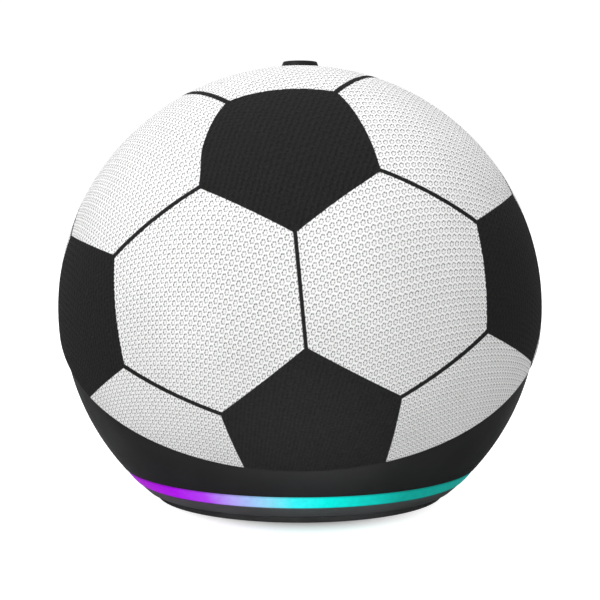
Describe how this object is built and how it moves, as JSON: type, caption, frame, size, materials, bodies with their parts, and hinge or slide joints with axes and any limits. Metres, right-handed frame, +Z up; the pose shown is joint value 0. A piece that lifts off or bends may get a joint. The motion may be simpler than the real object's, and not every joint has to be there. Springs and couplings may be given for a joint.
{
  "type": "smart speaker",
  "caption": "Ball-shaped smart speaker with a printed knit dome, smooth lower housing, light ring, top push buttons and a front-firing driver.",
  "frame": {"origin": "centre of the rubber foot pad's flat underside", "axes": "+Z up out of the table, -Y the front that the loudspeaker fires towards, +X to the right seen from the front"},
  "size_m": [0.1, 0.0991, 0.0898],
  "materials": {
    "dome_fabric": "white printed knit",
    "grille_plastic": "fine moulded texture",
    "housing_plastic": "satin",
    "ring_diffuser": "translucent, lit",
    "white_plastic": "gloss",
    "base_plastic": "satin",
    "foot_rubber": "matte",
    "adhesive": "matte",
    "button_plastic": "satin",
    "switch_metal": "tinned",
    "switch_plunger": "natural",
    "circuit_board": "solder mask",
    "microphone_metal": "gold plated",
    "soft_rubber": "matte",
    "inner_plastic": "moulded",
    "led_lens": "clear",
    "foam": "open cell",
    "zinc_steel": "zinc plated",
    "magnet_ferrite": "ground",
    "coil_copper": "enamelled",
    "treated_cloth": "resin treated",
    "cone_paper": "coated pulp",
    "wire_insulation": "smooth",
    "chip_epoxy": "moulded",
    "connector_plastic": "natural",
    "shield_tin": "tinned",
    "thermal_gel": "soft",
    "cast_aluminium": "bead blasted",
    "jack_plastic": "moulded",
    "pin_metal": "nickel plated",
    "ribbon_film": "polyimide",
    "antenna_film": "polyimide",
    "screw_steel": "black zinc"
  },
  "bodies": {
    "case": {"fabric_cover": "dome_fabric", "grille_shell": "grille_plastic", "lower_housing": "housing_plastic", "light_ring": "ring_diffuser", "ring_reflector": "white_plastic", "base_cover": "base_plastic", "foot_pad": "foot_rubber", "foot_tape": "adhesive", "tact_switches": "switch_metal", "button_board": "circuit_board", "button_guide": "inner_plastic", "microphones": "microphone_metal", "mic_gaskets": "soft_rubber", "inner_frame": "inner_plastic", "led_board": "circuit_board", "leds": "led_lens", "speaker_box_front": "inner_plastic", "speaker_box_rear": "inner_plastic", "box_seal": "soft_rubber", "damping_foam": "foam", "driver_gasket": "soft_rubber", "driver_basket": "zinc_steel", "driver_magnet": "magnet_ferrite", "driver_top_plate": "zinc_steel", "driver_yoke": "zinc_steel", "spider": "treated_cloth", "surround": "soft_rubber", "speaker_wires": "wire_insulation", "main_board": "circuit_board", "board_chips": "chip_epoxy", "board_connectors": "connector_plastic", "shield_can": "shield_tin", "thermal_pad": "thermal_gel", "heat_sink": "cast_aluminium", "io_board": "circuit_board", "power_jack": "jack_plastic", "power_pin": "pin_metal", "audio_jack": "jack_plastic", "button_ribbon": "ribbon_film", "led_ribbon": "ribbon_film", "wifi_antennas": "antenna_film", "split_screws": "screw_steel", "base_screws": "screw_steel", "deck_screws": "screw_steel", "box_screws": "screw_steel", "driver_screws": "screw_steel", "board_screws": "screw_steel"},
    "action_cap": {"action_button": "button_plastic", "action_plunger": "switch_plunger"},
    "volume_up_cap": {"volume_up_button": "button_plastic", "volume_up_plunger": "switch_plunger"},
    "volume_down_cap": {"volume_down_button": "button_plastic", "volume_down_plunger": "switch_plunger"},
    "microphone_cap": {"microphone_button": "button_plastic", "microphone_plunger": "switch_plunger"},
    "cone_unit": {"speaker_cone": "cone_paper", "voice_coil": "coil_copper", "dust_cap": "cone_paper"}
  },
  "joints": [
    {"name": "action_press", "type": "slide", "parent": "case", "child": "action_cap", "axis": [0, -0.1994, -0.9799], "range_m": [0, 0.0005], "stiffness_N_per_m": 3000, "springref_m": -0.00015},
    {"name": "volume_up_press", "type": "slide", "parent": "case", "child": "volume_up_cap", "axis": [0, -0.1994, -0.9799], "range_m": [0, 0.0005], "stiffness_N_per_m": 3000, "springref_m": -0.00015},
    {"name": "volume_down_press", "type": "slide", "parent": "case", "child": "volume_down_cap", "axis": [0, -0.1994, -0.9799], "range_m": [0, 0.0005], "stiffness_N_per_m": 3000, "springref_m": -0.00015},
    {"name": "microphone_press", "type": "slide", "parent": "case", "child": "microphone_cap", "axis": [0, -0.1994, -0.9799], "range_m": [0, 0.0005], "stiffness_N_per_m": 3000, "springref_m": -0.00015},
    {"name": "cone_stroke", "type": "slide", "parent": "case", "child": "cone_unit", "axis": [0, -1, 0], "range_m": [-0.0015, 0.0015], "stiffness_N_per_m": 1500, "deforming": ["surround", "spider"]}
  ]
}
